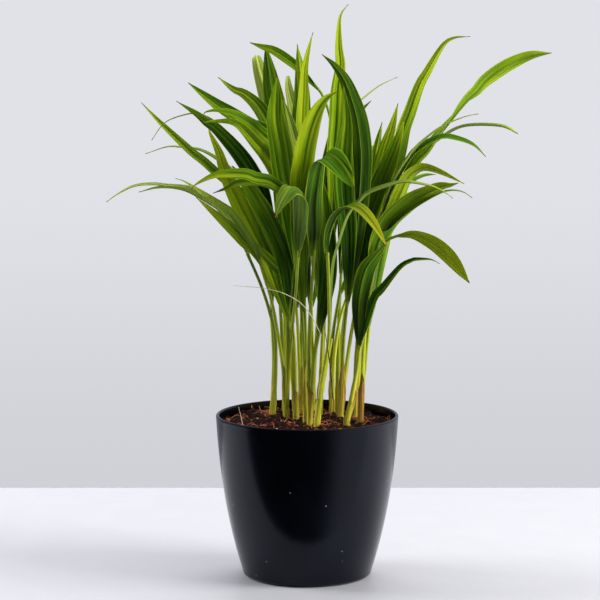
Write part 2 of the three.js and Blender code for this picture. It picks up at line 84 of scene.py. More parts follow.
STEM_FOOT = 2.2  # radii of a stalk
STEM_TIP = 1.0
STEM_SLIM = 0.52  # share of the foot's radius where the sheath ends
STEM_ROOTED = 12  # depth of the stalk in the soil
STEM_TAPER = 90  # a sheath slims down to a petiole over this height
STEM_SIDES = 14
STEM_STEP = 4
SCAR_RISE, SCAR_WIDTH = 0.09, 1.6  # the faint rings at a stalk's foot
CHANNEL_DEPTH, CHANNEL_WIDTH = 0.16, 0.45  # the channel along a stalk

SHEATH_COLUMNS, SHEATH_ROWS = 17, 14
SHEATH_SUNK = 4
SHEATH_THICKNESS = 0.22
SHEATH_FLARE = 0.28

LEAF_THICKNESS = 0.46
LEAF_EDGE = 0.2  # thickness along the edges
LEAF_FOLD = 0.3  # rise of a leaf's edges over its midrib, for each mm of half width
LEAF_BASE = 0.2  # share of the full width, where the blade starts
LEAF_WIDEST = 0.5  # of the leaf's length
LEAF_TAPER = 2.8  # the higher, the later the blade narrows to its tip
LEAF_TIP = 0.18  # half width at the tip
LEAF_SUNK = 5  # length of the leaf's root inside its petiole
LEAF_STEP = 3.2
LEAF_PLEATS = 1.9  # pleats on either side of the midrib
KEEL_DEPTH, KEEL_WIDTH = 0.3, 0.05

CAMERA_AT = (-5.1, -2000, 463)
CAMERA_PITCH = 7.55  # degrees below the horizon
IMAGE_SIZE = 600  # pixels along each side of the photograph
FOCAL_PIXELS = 2848
SENSOR = 36

FLOOR_BACK, FLOOR_FRONT = 315, -100  # the table's far edge and its near one
FLOOR_HALF_WIDTH = 1500
FLOOR_THICKNESS = 30
FLOOR_ROUND = 3

# The soft lamps: where each stands, its size, watts and colour. All face the plant.
LAMPS_AIM = (0, 0, 150)
LAMPS = {
    "softbox_right": ((1350, -380, 720), (800, 900), 38, (1, 0.99, 0.97)),
    "softbox_left": ((-1350, 330, 760), (800, 900), 26, (0.97, 0.98, 1)),
    "softbox_top": ((100, 700, 1500), (900, 700), 19, (1, 1, 1)),
}

# ---------------------------------------------------------------- the plant's routes
# The table is the one in the part's source, with the looks of each leaf added: its tint
# from dark (0) to bright yellow-green (1), which holds painted shade and painted light as
# well as the leaf's own green, lower for leaves in shade and higher for lit ones; how far
# its end has yellowed; the length of its dried tip; and how pale and greyish it is, which
# is a painted grey sheen. A seedling has a foot (x, y) on the soil and its fronds. A frond
# has the points that its petiole passes after the foot, and its leaves. A leaf has its
# width, or its width, where along it that lies and how late it narrows; then the direction
# that its upper face looks in at its root (0 right, 90 back, -90 front), the points that
# its midrib passes, and the degrees that it twists to its tip.


def seedling(foot, *fronds):
    return {"foot": foot, "fronds": fronds}


def frond(petiole, *leaves):
    return {"petiole": petiole, "leaves": leaves}


def leaf(size, faces, *path, twist=0, tint=0.5, yellow=0.0, dry=1.4, pale=0.0):
    width, widest, taper = size if isinstance(size, tuple) else (size, LEAF_WIDEST, LEAF_TAPER)
    return {
        "width": width, "widest": widest, "taper": taper, "faces": faces, "twist": twist,
        "path": path, "tint": tint, "yellow": yellow, "dry": dry, "pale": pale,
    }


SEEDLINGS = [
    # front left: bent-over leaf, long low arches
    seedling([-15, 16],
      frond([[-14, 13, 133], [-12, 6, 164], [-8, -10, 205], [-6, -24, 236]],
        leaf((16, 0.5, 2.3), -122, [-4, -28, 252], [-3, -35, 264], [-3, -42, 275], [-6, -48, 281],
          [-11, -54, 283], [-15, -58, 279], [-19, -61, 272], [-22, -62, 263], twist=-30, dry=5,
          pale=0.15)),
      frond([[-17, 14, 145], [-22, 10, 179], [-26, 6, 199], [-31, 2, 216], [-34, -1, 227]],
        leaf((8, 0.4, 1.2), -40, [-37, -3, 235], [-42, -6, 243], [-53, -12, 260], [-60, -14, 266],
          [-74, -17, 276], [-86, -19, 284], [-92, -20, 286], tint=0.7, pale=0.3),
        leaf((8.5, 0.4, 1.6), -60, [-39, -3, 234], [-45, -6, 240], [-51, -9, 247], [-63, -14, 259],
          [-78, -18, 273], tint=0.95)),
      frond([[-14, 11, 145], [-14, 0, 185]],
        leaf((8, 0.75, 1.4), 0, [-9, -9, 226], [-9, -12, 246], [-11, -15, 263], [-14, -21, 274],
          [-20, -28, 281], [-27, -34, 286], [-36, -38, 288], [-44, -41, 291], [-62, -45, 291],
          [-76, -48, 285], [-80, -48, 281], twist=-40, tint=0.55, yellow=0.1),
        leaf((8, 0.7, 1.6), 0, [-9, -9, 230], [-10, -11, 250], [-13, -13, 265], [-18, -18, 275],
          [-25, -21, 281], [-34, -23, 284], [-49, -24, 283], [-55, -24, 280], [-66, -24, 276], twist=-45,
          tint=0.4))),
    # front middle: leaf folded over at its top
    seedling([2, -6],
      frond([[1, -6, 150], [2, -10, 190], [5, -19, 236]],
        leaf((20, 0.5, 3.5), 116, [6, -24, 249], [6, -30, 268], [8, -37, 287], [10, -44, 298],
          [14, -50, 303], [20, -56, 299], [26, -61, 292], [32, -64, 283], twist=50, tint=0.38, dry=3)),
      frond([[4, -7, 150], [9, -9, 180]],
        leaf(14, -90, [14, -10, 215], [13, -12, 250], [10, -14, 286]))),
    # front: yellowing arch and the thin arch beside it
    seedling([7, -14],
      frond([[10, -13, 139], [15, -16, 173], [15, -26, 208], [14, -37, 236]],
        leaf((13, 0.55, 2), 140, [15, -40, 247], [18, -46, 258], [23, -52, 266], [30, -58, 270],
          [37, -63, 267], [45, -67, 258], [54, -69, 244], yellow=0.75, dry=4)),
      frond([[11, -12, 139], [17, -12, 172]],
        leaf((10.5, 0.6, 1.5), 175, [18, -17, 221], [23, -20, 243], [29, -24, 261], [37, -27, 271],
          [44, -28, 277], [64, -31, 284], [73, -32, 284], [88, -32, 281], [99, -31, 275], [101, -30, 273],
          pale=0.35))),
    # front right: the lowest leaves of that side
    seedling([28, -12],
      frond([[31, -12, 128], [35, -14, 150], [37, -17, 168]],
        leaf((9, 0.3, 1.3), 215, [42, -18, 185], [48, -22, 203], [53, -24, 209], [65, -30, 225],
          [73, -32, 230], [77, -34, 231], [86, -36, 231], [92, -36, 228]),
        leaf((13, 0.66, 1.8), 75, [36, -18, 192], [37, -20, 204], [39, -20, 215], [43, -18, 225],
          [55, -14, 239], tint=0.4)),
      frond([[32, -9, 128], [38, -7, 165], [47, -6, 219], [51, -5, 231], [55, -6, 240], [62, -8, 244],
          [69, -10, 246]],
        leaf((11, 0.55, 2.2), -80, [74, -12, 246], [86, -17, 242], [95, -21, 236], [103, -26, 228],
          [113, -32, 214], twist=-10, tint=1.2))),
    seedling([38, -2],
      frond([[39, -2, 141], [41, 2, 175], [43, 3, 206], [47, 3, 225]],
        leaf((15, 0.32, 3), 115, [50, 4, 237], [56, 5, 249], [61, 4, 256], [71, 2, 265], [78, 0, 270],
          [83, -3, 273], [94, -7, 279], [100, -9, 280], [106, -10, 282], tint=0.8)),
      frond([[40, 4, 140], [44, 9, 178]],
        leaf((12, 0.5, 2.2), 124, [57, 12, 246], [61, 11, 259], [66, 10, 272], [71, 9, 283], [77, 8, 289],
          [83, 7, 291], [94, 5, 288], [111, 5, 280], tint=1),
        leaf((10, 0.4, 1.4), 178, [53, 9, 240], [59, 7, 248], [73, 3, 261], [92, -1, 273], [102, -3, 276],
          [110, -5, 275], [116, -6, 271], tint=0.45, pale=0.2))),
    seedling([-8, 13],
      frond([[-9, 13, 160], [-11, 9, 185]],
        leaf(14, -80, [-15, 3, 222], [-24, -2, 247], [-36, -4, 270], [-45, -5, 284], [-53, -6, 294],
          tint=0.52),
        leaf((8, 0.5, 2), 90, [-13, 8, 206], [-17, 6, 216], [-23, 5, 222], [-36, 3, 236], [-42, 2, 244],
          tint=0.65)),
      frond([[-10, 14, 155], [-14, 15, 185]],
        leaf((13.5, 0.5, 1.8), -70, [-31, 13, 228], [-38, 12, 244], [-50, 13, 268], [-56, 14, 281],
          [-60, 16, 292], [-63, 17, 302], [-69, 19, 315], [-70, 20, 321], tint=0.95),
        leaf(13, 90, [-22, 13, 222], [-29, 11, 248], [-35, 10, 272], tint=0.4))),
    seedling([-4, 24],
      frond([[-4, 23, 165], [-4, 20, 205]],
        leaf((10, 0.6, 1.7), -70, [-4, 14, 257], [-4, 9, 297], [-4, 7, 325], [-3, 6, 345], [-2, 4, 362],
          [1, 1, 376], [4, -2, 387], tint=0.9),
        leaf((14, 0.65, 2), 90, [-5, 18, 257], [-4, 16, 296], [-4, 14, 328], [-4, 16, 349],
          [-7, 16, 378])),
      frond([[-6, 22, 160], [-8, 17, 195]],
        leaf((13, 0.55, 1.6), -60, [-11, 10, 275], [-16, 6, 293], [-24, 2, 307], [-33, -1, 316],
          [-39, -4, 322], [-51, -8, 330], [-62, -11, 333], [-71, -14, 332], [-73, -14, 329], twist=20,
          tint=0.68),
        leaf((13, 0.5, 1.6), -80, [-14, 2, 272], [-20, -1, 287], [-27, -4, 299], [-35, -8, 309],
          [-49, -15, 324], [-62, -16, 326], [-73, -18, 325], tint=0.85))),
    # middle: the bright leaf that nods to the right
    seedling([-1, 2],
      frond([[-2, 1, 160], [-4, -3, 195]],
        leaf((15.5, 0.55, 3.2), -80, [-5, -17, 246], [-5, -24, 268], [-5, -27, 286], [-3, -29, 300],
          [-1, -30, 312], [3, -31, 326], [8, -32, 337], [14, -33, 344], [20, -34, 347], tint=0.95)),
      frond([[-1, 1, 165], [-2, -3, 205]],
        leaf((17, 0.55, 2.6), -85, [-7, -1, 234], [-11, -4, 266], [-16, -6, 289], [-19, -7, 308],
          [-22, -6, 326], [-22, -5, 341], [-21, -4, 357], tint=0.65),
        leaf((9, 0.55, 2.6), -90, [-5, -13, 295], [-9, -14, 316], [-13, -15, 330], [-17, -15, 342],
          tint=0.75, pale=0.6))),
    # the widest dark leaf, and the high arch to the right
    seedling([24, 18],
      frond([[26, 17, 165], [29, 13, 200]],
        leaf((15, 0.6, 2), 80, [35, 8, 243], [37, 3, 272], [38, -2, 297], [37, -4, 313], [35, -5, 327],
          [31, -6, 341], [26, -7, 354], [19, -8, 364], [10, -9, 372], tint=0.45, dry=9),
        leaf((15, 0.6, 1.5), -85, [29, 4, 244], [26, -5, 273], [25, -11, 298], [26, -13, 314],
          [27, -14, 326], [26, -14, 340], [25, -13, 351], tint=0.45)),
      frond([[30, 22, 160], [35, 25, 190]],
        leaf((12.5, 0.5, 2.4), -90, [41, 31, 246], [46, 34, 266], [51, 36, 286], [56, 37, 303],
          [61, 37, 319], [65, 37, 335], tint=0.65),
        leaf((15.5, 0.55, 2.2), -80, [41, 28, 245], [46, 29, 263], [52, 30, 278], [58, 30, 293],
          [66, 28, 314], [69, 28, 324], tint=0.6))),
    # the tallest leaf
    seedling([9, 30],
      frond([[11, 29, 165], [13, 28, 210]],
        leaf((11, 0.66, 1.15), -70, [18, 26, 263], [18, 25, 295], [20, 24, 324], [21, 22, 345],
          [23, 20, 363], [22, 19, 377], [23, 17, 397], [29, 16, 406], tint=0.85),
        leaf((10, 0.6, 2), -90, [23, 28, 295], [26, 30, 320], [28, 31, 338], [26, 31, 355], tint=0.7)),
      frond([[12, 32, 170], [14, 36, 215], [19, 41, 280], [19, 43, 305], [16, 45, 326], [11, 46, 340],
          [5, 46, 348]],
        leaf((7, 0.55, 2), -90, [-3, 46, 356], [-10, 45, 363], [-23, 43, 372], [-32, 42, 375],
          [-41, 42, 378], tint=0.75))),
    # the longest leaf, out to the right
    seedling([18, 36],
      frond([[20, 36, 155], [27, 37, 190], [46, 38, 228], [57, 39, 249]],
        leaf((15, 0.5, 3.2), 268, [66, 41, 274], [73, 42, 281], [78, 43, 291], [86, 44, 299],
          [93, 45, 308], [104, 47, 322], [115, 48, 335], [123, 49, 342], [129, 50, 349], [142, 51, 359],
          [155, 53, 366], [164, 53, 369], [176, 54, 370], twist=-180, tint=0.85),
        leaf((10, 0.8, 3.5), 178, [64, 42, 268], [78, 48, 290], [86, 50, 300], [101, 49, 312],
          [115, 46, 318], [139, 42, 318], [151, 37, 313], tint=0.6, pale=0.5)),
      frond([[18, 38, 160], [24, 42, 200]],
        leaf((11, 0.5, 1.75), 105, [58, 44, 259], [63, 45, 283], [67, 46, 301], [70, 46, 316],
          [74, 47, 327], [81, 48, 347], [86, 48, 356], [97, 48, 375], [105, 48, 381], [117, 48, 382],
          tint=0.8),
        leaf(9, 90, [44, 44, 244], [46, 46, 272], [50, 47, 301], [54, 47, 321], tint=0.7))),
    seedling([34, 20],
      frond([[36, 21, 165], [42, 21, 200]],
        leaf((11, 0.5, 1.5), 178, [56, 20, 264], [66, 19, 287], [72, 19, 296], [77, 18, 304],
          [83, 18, 310], [96, 16, 320], [112, 14, 327], [121, 12, 329], pale=0.7),
        leaf((12, 0.6, 2.6), 195, [57, 22, 261], [61, 23, 274], [73, 23, 295], [80, 22, 303],
          [95, 22, 311], [107, 21, 310], [118, 20, 306], [127, 20, 298]))),
    # left
    seedling([-25, 28],
      frond([[-23, 28, 137], [-23, 27, 168], [-27, 27, 186], [-32, 27, 202], [-38, 26, 217],
          [-43, 26, 228]],
        leaf((11, 0.4, 1.6), 8, [-46, 25, 236], [-49, 24, 244], [-62, 20, 261], [-78, 16, 272],
          [-85, 14, 276], [-101, 11, 278], [-108, 10, 279], [-122, 8, 278], [-135, 6, 272], [-142, 5, 267],
          tint=0.85, pale=0.6),
        leaf((11, 0.4, 1.8), 12, [-47, 27, 235], [-51, 28, 243], [-63, 30, 258], [-70, 31, 263],
          [-84, 33, 271], [-95, 35, 274], [-108, 37, 274], [-121, 38, 271], tint=0.95, pale=0.6)),
      frond([[-24, 31, 150], [-26, 34, 185]],
        leaf((8, 0.65, 2), -50, [-26, 33, 221], [-30, 35, 240], [-37, 37, 255], [-45, 38, 267],
          [-54, 38, 275], [-65, 39, 284], [-75, 40, 293], [-84, 41, 300], [-102, 43, 317], [-109, 44, 324],
          [-119, 44, 335], tint=0.78, yellow=0.15, dry=8),
        leaf((11, 0.45, 1.6), -15, [-30, 38, 237], [-36, 40, 255], [-43, 43, 268], [-56, 48, 286],
          [-75, 53, 299], [-92, 55, 302], [-102, 56, 302], [-117, 58, 297], tint=0.75, pale=0.3))),
    seedling([-16, 33],
      frond([[-18, 33, 165], [-20, 30, 200]],
        leaf((13, 0.5, 1.8), -70, [-32, 24, 267], [-40, 16, 287], [-50, 9, 303], [-64, 4, 319],
          [-71, 2, 324], [-78, 0, 330], [-92, -2, 339], tint=0.15),
        leaf((8, 0.45, 1.5), 5, [-34, 30, 273], [-51, 30, 304], [-59, 30, 316], [-67, 30, 323],
          [-75, 30, 327], [-83, 30, 328], [-97, 30, 324], [-104, 30, 319], [-111, 30, 309], pale=0.5)),
      frond([[-16, 36, 165], [-17, 39, 210]],
        leaf((12.5, 0.5, 3), -60, [-19, 40, 290], [-25, 39, 305], [-32, 38, 315], [-40, 37, 318],
          [-57, 35, 329], [-66, 34, 335], [-85, 32, 350], tint=0.4),
        leaf((15, 0.5, 2.2), 60, [-21, 44, 304], [-26, 46, 316], [-36, 48, 332], [-46, 48, 341],
          [-53, 48, 344], [-64, 48, 353], tint=0.68))),
    # from here on: the back of the clump
    seedling([-9, 42],
      frond([[-10, 46, 160], [-13, 51, 205]],
        leaf((17, 0.65, 2.2), 80, [-17, 60, 278], [-20, 61, 307], [-23, 61, 329], [-26, 60, 347],
          [-30, 58, 376], tint=0.42),
        leaf((13, 0.6, 2.5), 90, [-19, 64, 299], [-25, 68, 324], [-31, 72, 344], [-35, 75, 358],
          [-37, 80, 366], [-38, 88, 366], [-40, 96, 359], tint=0.75, pale=0.7)),
      frond([[-12, 47, 150], [-18, 60, 190]],
        leaf((12, 0.5, 2), 340, [-22, 74, 216], [-26, 92, 242], [-33, 112, 260], [-41, 130, 267],
          [-48, 144, 264], tint=0.58),
        leaf((11, 0.5, 2), 10, [-23, 72, 214], [-29, 84, 237], [-38, 98, 254], [-47, 112, 263],
          [-55, 126, 263], tint=0.52))),
    seedling([4, 47],
      frond([[4, 52, 150], [3, 62, 190]],
        leaf(14, 215, [0, 84, 248], [-6, 108, 288], [-16, 132, 308], [-28, 158, 300], tint=0.3),
        leaf((12, 0.5, 2.5), 315, [15, 84, 250], [17, 104, 270], [23, 130, 279], [28, 158, 278],
          tint=0.3)),
      frond([[6, 50, 150], [9, 54, 195]],
        leaf((11, 0.6, 2.2), -90, [1, 62, 263], [-4, 68, 299], [-9, 74, 326], [-13, 80, 342],
          [-14, 88, 351], [-15, 96, 349], tint=0.6, pale=0.8),
        leaf(12, 270, [12, 64, 262], [18, 76, 298], [26, 94, 326], [36, 112, 330], twist=20, tint=0.3))),
    seedling([22, 48],
      frond([[23, 52, 170], [25, 56, 215]],
        leaf((5, 0.5, 2), 180, [28, 63, 299], [30, 67, 319], [35, 71, 331], [41, 75, 336], [53, 80, 345],
          [66, 84, 351], tint=0.75, pale=0.9),
        leaf((11, 0.6, 1.8), 250, [28, 66, 281], [31, 70, 302], [35, 74, 317], [40, 78, 327],
          [47, 82, 334])),
      frond([[24, 53, 150], [29, 62, 190]],
        leaf(15, 300, [36, 84, 235], [43, 112, 276], [50, 140, 292], [56, 166, 284], tint=0.45),
        leaf((12, 0.5, 2), 195, [57, 86, 250], [63, 94, 267], [70, 104, 281], [78, 112, 288],
          [85, 124, 289], tint=0.65))),
    seedling([36, 38],
      frond([[38, 42, 150], [42, 50, 185]],
        leaf((12, 0.5, 2), 210, [56, 62, 241], [62, 76, 253], [70, 92, 262], [78, 108, 265], tint=0.8),
        leaf((11, 0.5, 2), 170, [56, 58, 245], [65, 64, 263], [75, 72, 274], [86, 82, 279], [95, 92, 279],
          tint=0.6))),
]


# The dried sheaths that wrap some stalks at the soil: the seedling's number, which of its
# stalks, the height of the sheath's tip, the direction that it covers, how many degrees
# it reaches round, and how dry it is from yellow-green (0) to brown (1).
SHEATHS = [
    (1, 1, 40, -60, 230, 0.35), (2, 1, 26, -90, 250, 0.45), (2, 0, 34, 200, 200, 0.35),
    (3, 0, 22, -120, 220, 0.2), (4, 0, 18, -60, 240, 0.3), (4, 1, 30, -90, 200, 0.5),
    (5, 0, 36, -90, 240, 0.8), (6, 0, 24, -100, 220, 0.4), (7, 0, 38, -80, 220, 0.5),
    (8, 0, 44, -40, 230, 0.4), (9, 0, 42, -70, 240, 0.5), (9, 1, 30, -110, 220, 0.9),
    (10, 0, 34, 80, 230, 0.5), (11, 1, 40, 60, 230, 0.8), (12, 0, 26, -60, 230, 0.5),
    (13, 0, 30, -120, 240, 0.3), (14, 1, 36, 120, 220, 0.6), (16, 0, 30, 90, 230, 0.5),
    (17, 1, 40, 60, 220, 0.9), (18, 0, 34, 40, 230, 0.7),
]

# Loose dried threads: the points that each passes, its radius, and how pale it is.
THREADS = {
    "thread_long": ([[10, -18, 175], [3, -20, 189], [-3, -22, 197], [-9, -24, 202],
                     [-19, -27, 207], [-33, -26, 210], [-52, -22, 211]], 0.3, 0.85),
    "thread_soil": ([[-45, -19, 108], [-46.5, -18, 116], [-48.5, -17, 124]], 0.22, 1.0),
    "thread_dark": ([[18, -17, 130], [16.5, -18, 150], [14, -19, 168], [12, -20, 182]],
                    0.42, 0.0),
}

# ---------------------------------------------------------------- colours and shaders


def srgb(value):
    """A colour written as 0xRRGGBB, as Blender's linear red, green, blue and alpha."""
    parts = [(value >> shift & 255) / 255 for shift in (16, 8, 0)]
    return (*(p / 12.92 if p < 0.04045 else ((p + 0.055) / 1.055) ** 2.4 for p in parts), 1.0)


class Shader:
    """A node tree written as nested calls. An input that is a socket is linked, and any
    other is set on the node itself. Colours are written as 0xRRGGBB."""

    def __init__(self, tree):
        self.tree = tree
        tree.nodes.clear()

    def add(self, kind, inputs=None, **settings):
        made = self.tree.nodes.new("ShaderNode" + kind)
        for key, value in settings.items():
            setattr(made, key, value)
        for key, value in (inputs or {}).items():
            socket = made.inputs[key]
            if isinstance(value, bpy.types.NodeSocket):
                self.tree.links.new(value, socket)
            else:
                socket.default_value = srgb(value) if socket.type == "RGBA" else value
        return made

    def math(self, operation, *values, clamp=False):
        made = self.add("Math", dict(enumerate(values)), operation=operation, use_clamp=clamp)
        return made.outputs[0]

    def times(self, value, factor):
        return self.math("MULTIPLY", value, factor)

    def above(self, value, middle, gain, base, clamp=False):
        """base, with gain added for each unit that value lies above middle."""
        over = self.math("SUBTRACT", value, middle)
        return self.math("MULTIPLY_ADD", over, gain, base, clamp=clamp)

    def mix(self, share, low, high):
        return self.add("Mix", {0: share, 6: low, 7: high}, data_type="RGBA").outputs[2]

    def ramp(self, value, start, end, low=0.0, high=1.0):
        """value brought from start..end to low..high along a smooth step."""
        inputs = {0: value, 1: start, 2: end, 3: low, 4: high}
        return self.add("MapRange", inputs, interpolation_type="SMOOTHSTEP").outputs[0]

    def parts(self, vector):
        return self.add("SeparateXYZ", {0: vector}).outputs

    def vector(self, x, y, z):
        return self.add("CombineXYZ", {0: x, 1: y, 2: z}).outputs[0]

    def layer(self, name):
        """The three numbers that a mesh carries at each point under this name."""
        return self.parts(self.add("Attribute", attribute_name=name).outputs["Vector"])

    def place(self):
        return self.add("TexCoord").outputs["Object"]

    def noise(self, vector, scale, detail=2.0, roughness=0.5):
        inputs = {"Vector": vector, "Scale": scale, "Detail": detail, "Roughness": roughness}
        return self.add("TexNoise", inputs).outputs["Fac"]

    def bump(self, height, strength, distance):
        inputs = {"Height": height, "Strength": strength, "Distance": distance}
        return self.add("Bump", inputs).outputs["Normal"]

    def principled(self, colour, rough, **others):
        """A plain surface. Other inputs are named as in Blender, with _ for a space."""
        inputs = {"Base Color": colour, "Roughness": rough}
        inputs.update((key.replace("_", " "), value) for key, value in others.items())
        return self.add("BsdfPrincipled", inputs).outputs[0]

    def lit_through(self, share, surface, colour):
        """A surface through which a share of the light shines, in a colour."""
        glow = self.add("BsdfTranslucent", {"Color": colour}).outputs[0]
        return self.add("MixShader", {0: share, 1: surface, 2: glow}).outputs[0]

    def surface(self, socket):
        self.add("OutputMaterial", {"Surface": socket})


def material(name):
    made = bpy.data.materials.new(name)
    made.use_nodes = True
    return made, Shader(made.node_tree)


def pot_material():
    """Black moulded plastic: a bluish cast, faint clouding, hairline scuffs and dust."""
    made, s = material("pot_plastic")
    place = s.place()
    clouds = s.noise(place, 28, 3)
    colour = s.mix(s.ramp(clouds, 0.35, 0.7), 0x05060A, 0x090B12)
    cells = s.add("TexVoronoi", {"Vector": place, "Scale": 120.0, "Randomness": 1.0})
    chosen = s.ramp(s.parts(cells.outputs["Color"])[0], 0.46, 0.5)
    dust = s.times(s.ramp(cells.outputs["Distance"], 0.06, 0.04), chosen)
    colour = s.mix(dust, colour, 0x9EA1AA)
    x, y, z = s.parts(place)
    round_it = s.vector(s.times(x, 6), s.times(y, 6), s.times(z, 90))
    scuffs = s.noise(round_it, 14, 4, 0.65)
    rough = s.ramp(scuffs, 0.45, 0.75, 0.17, 0.24)
    rough = s.math("ADD", rough, s.times(dust, 0.4))
    grain = s.math("ADD", s.times(s.noise(place, 900, 2), 0.2), s.noise(place, 22, 1))
    s.surface(s.principled(colour, rough, Specular_IOR_Level=0.3, Specular_Tint=0xD8DEF4,
                           Normal=s.bump(grain, 0.12, 0.0006)))
    return made


def soil_material():
    """Damp coir soil: red-brown crumbs over dark brown, with painted shade that turns the hollows of its
    bump nearly black.
    """
    made, s = material("soil_coir")
    place = s.place()
    lumps = s.noise(place, 260, 4, 0.6)
    crumbs = s.noise(place, 1400, 3, 0.6)
    # painted shade: where the lumps sink, which are the hollows of the bump, the colour is painted nearly
    # black
    colour = s.mix(s.ramp(lumps, 0.38, 0.62), 0x060201, 0x220C08)
    colour = s.mix(s.ramp(crumbs, 0.55, 0.75, 0, 0.5), colour, 0x48200F)
    height = s.math("ADD", lumps, s.times(crumbs, 0.5))
    rough = s.ramp(crumbs, 0.3, 0.7, 0.7, 0.95)
    s.surface(s.principled(colour, rough, Normal=s.bump(height, 0.8, 0.0008)))
    return made


def grain_material(name, dark, light, scale, rough, depth):
    """A loose bit of the soil: its own tone between two colours, with a fine grain."""
    made, s = material(name)
    tone = s.layer("tone")[0]
    grain = s.noise(s.place(), scale, 3, 0.6)
    share = s.math("ADD", tone, s.math("MULTIPLY_ADD", grain, 0.8, -0.4), clamp=True)
    colour = s.mix(share, dark, light)
    s.surface(s.principled(colour, rough, Normal=s.bump(grain, 0.5, depth)))
    return made


def stalk_material():
    """Stalks: yellow at the soil, lime above, green where the leaves part, with fine
    lengthwise streaks whose dark lines are partly painted shade along each stalk. Dry
    sheaths turn tan and brown."""
    made, s = material("palm_stalk")
    cosine, sine, height = s.layer("stem")
    tint, dry, seed = s.layer("tone")
    drawn_out = s.math("MULTIPLY_ADD", height, 0.02, s.times(seed, 40))
    streaks = s.noise(s.vector(s.times(cosine, 5), s.times(sine, 5), drawn_out), 1.6, 3, 0.6)
    clouds = s.noise(s.vector(cosine, sine, s.math("MULTIPLY_ADD", height, 0.05, seed)), 1.5, 2)
    raised = s.math("MULTIPLY_ADD", clouds, 34, s.math("SUBTRACT", height, 17))
    colour = s.mix(s.ramp(raised, 0, 34), 0xECDC48, 0xD8D630)
    colour = s.mix(s.ramp(raised, 30, 120), colour, 0xBECA24)
    lit = s.mix(s.ramp(raised, 8, 60), 0x8E9022, 0x4C7410)
    colour = s.mix(tint, lit, colour)
    # partly painted shade: the dark streaks are the stalk's own striations and also stand in for shading
    # lines along it
    colour = s.mix(s.ramp(streaks, 0.42, 0.62, 0, 0.85), colour, 0x4C6E08)
    spots = s.noise(s.vector(cosine, sine, s.times(height, 0.35)), 6, 4, 0.7)
    rusty = s.mix(s.ramp(spots, 0.45, 0.62), 0xC49A44, 0x7A431A)
    husk = s.mix(s.ramp(streaks, 0.4, 0.65), rusty, 0x3C2410)
    colour = s.mix(s.ramp(s.math("MULTIPLY_ADD", spots, 0.5, dry), 0.45, 1.0), colour, husk)
    rough = s.math("MULTIPLY_ADD", dry, 0.35, s.ramp(streaks, 0.3, 0.7, 0.3, 0.45))
    ridges = s.math("ADD", streaks, s.times(spots, 0.3))
    skin = s.principled(colour, rough, Normal=s.bump(ridges, 0.45, 0.00025))
    s.surface(s.lit_through(0.12, skin, s.mix(0.5, colour, 0xC8D830)))
    return made


def leaf_material():
    """Palm leaf: parallel veins, a pale midrib, a pale band along the edges that is painted
    rim light, a yellowing end and a dried tip, paler below, and on some leaves a painted
    grey sheen. Light shines through it."""
    made, s = material("palm_leaf")
    across, along, seed = s.layer("blade")
    share, tint, yellow = s.layer("tone")
    dry, under, pale = s.layer("wear")
    width = s.layer("strap")[0]
    seeded = s.times(seed, 31.7)
    side = s.math("ABSOLUTE", across)
    far = s.times(along, 0.01)
    veins = s.noise(s.vector(s.times(width, 0.9), far, seeded), 1.0, 1.5)
    bands = s.noise(s.vector(s.times(width, 0.3), far, seeded), 1.0, 1.0)
    patches = s.noise(s.vector(across, s.times(along, 0.03), seeded), 1.2, 2)
    # painted shade and painted light: each leaf's tint is lower where the leaf sits in shade and higher
    # where it is lit, besides its own green
    green = s.above(bands, 0.5, 1.1, s.above(veins, 0.5, 1.1, tint))
    # painted shade and painted light: green falls toward the leaf's shaded root and rises toward its lit
    # outer end
    green = s.above(share, 0.55, 0.55, s.above(patches, 0.5, 0.5, green))
    deep = s.mix(s.ramp(green, 0.0, 0.5), 0x102E02, 0x386806)
    middle = s.mix(s.ramp(green, 0.4, 0.9), deep, 0x76980E)
    fresh = s.mix(s.ramp(green, 0.75, 1.25), middle, 0xAEBE1E)
    midrib = s.ramp(side, 0.07, 0.02)
    # painted rim light: the pale band along each edge stands in for the glow of backlit edges; the
    # midrib's pale line is its own colour
    edge = s.ramp(side, 0.9, 0.99)
    midrib_and_rim_light = s.math("MAXIMUM", s.times(midrib, 0.3), s.times(edge, 0.75))
    colour = s.mix(midrib_and_rim_light, fresh, 0xB4CC2C)
    colour = s.mix(s.ramp(share, 0.14, 0.02, 0, 0.6), colour, 0x84A418)
    # painted sheen: the pale share paints the grey sheen of glossy leaves; the underside's slight paleness
    # is its own colour
    underside_and_sheen = s.mix(bands, 0x96A83C, 0xC2CC7C)
    colour = s.mix(s.math("MULTIPLY_ADD", under, 0.04, s.times(pale, 0.8)), colour, underside_and_sheen)
    aged = s.above(patches, 0.5, 0.8, yellow, clamp=True)
    aged = s.times(aged, s.ramp(yellow, 0.02, 0.2))
    colour = s.mix(aged, colour, s.mix(edge, 0xA29C14, 0xA06814))
    dried = s.ramp(s.math("MULTIPLY_ADD", veins, 0.5, dry), 0.55, 0.9)
    colour = s.mix(dried, colour, s.mix(veins, 0x6A3014, 0xB87848))
    rough = s.math("MULTIPLY_ADD", under, 0.12, s.ramp(veins, 0.3, 0.7, 0.36, 0.46))
    ridges = s.math("MULTIPLY_ADD", midrib, 0.5, s.math("MULTIPLY_ADD", bands, 1.5, veins))
    skin = s.principled(colour, rough, Specular_IOR_Level=0.2, Normal=s.bump(ridges, 0.4, 0.0003))
    through = s.mix(0.55, colour, s.mix(green, 0x4C8204, 0xD2DA14))
    s.surface(s.lit_through(0.32, skin, s.mix(dried, through, 0x703818)))
    return made


def floor_material():
    """A smooth pale table top with the faintest unevenness."""
    made, s = material("studio_floor")
    place = s.place()
    colour = s.mix(s.noise(place, 3, 2), 0xB8B8BC, 0xBDBDC1)
    rough = s.ramp(s.noise(place, 40, 3), 0.3, 0.7, 0.32, 0.4)
    s.surface(s.principled(colour, rough, Specular_IOR_Level=0.35))
    return made


# ---------------------------------------------------------------- curves and meshes


